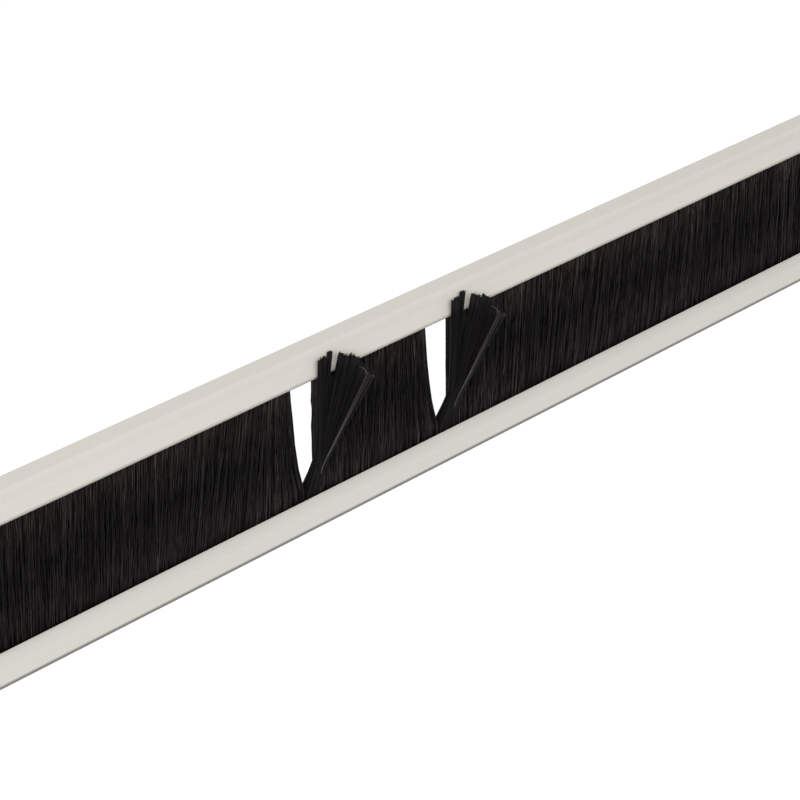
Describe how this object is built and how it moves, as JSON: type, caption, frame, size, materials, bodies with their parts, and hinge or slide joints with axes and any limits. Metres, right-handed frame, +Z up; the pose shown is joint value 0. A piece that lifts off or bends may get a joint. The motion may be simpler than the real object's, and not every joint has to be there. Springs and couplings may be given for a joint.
{
  "type": "rack brush strip panel",
  "caption": "One-unit 19-inch rack panel in pale coated sheet with a long opening filled by dark filaments, parted in places for cables.",
  "frame": {"origin": "centre of the four rack slots, on the rear face of the ears", "axes": "+X along the panel to the right as seen from the front, +Y into the rack, +Z up; the front faces -Y"},
  "size_m": [0.4826, 0.0224, 0.0436],
  "materials": {
    "panel_paint": "satin powder coat, warm light grey",
    "filament": "black nylon filaments with a slight sheen",
    "channel_zinc": "galvanised steel strip",
    "clamp_zinc": "zinc-plated steel",
    "wire_steel": "drawn steel wire",
    "fastener_zinc": "bright zinc-plated fasteners"
  },
  "bodies": {
    "root": {"front_panel": "panel_paint", "brush_channel": "channel_zinc", "core_wire": "wire_steel", "bristles_left": "filament", "bristles_middle": "filament", "bristles_right": "filament", "parted_tuft_left": "filament", "parted_tuft_right": "filament", "clamp_bar": "clamp_zinc", "clinch_stud_1": "fastener_zinc", "washer_1": "fastener_zinc", "nut_1": "fastener_zinc", "clinch_stud_2": "fastener_zinc", "washer_2": "fastener_zinc", "nut_2": "fastener_zinc", "clinch_stud_3": "fastener_zinc", "washer_3": "fastener_zinc", "nut_3": "fastener_zinc", "clinch_stud_4": "fastener_zinc", "washer_4": "fastener_zinc", "nut_4": "fastener_zinc", "clinch_stud_5": "fastener_zinc", "washer_5": "fastener_zinc", "nut_5": "fastener_zinc"}
  },
  "joints": []
}
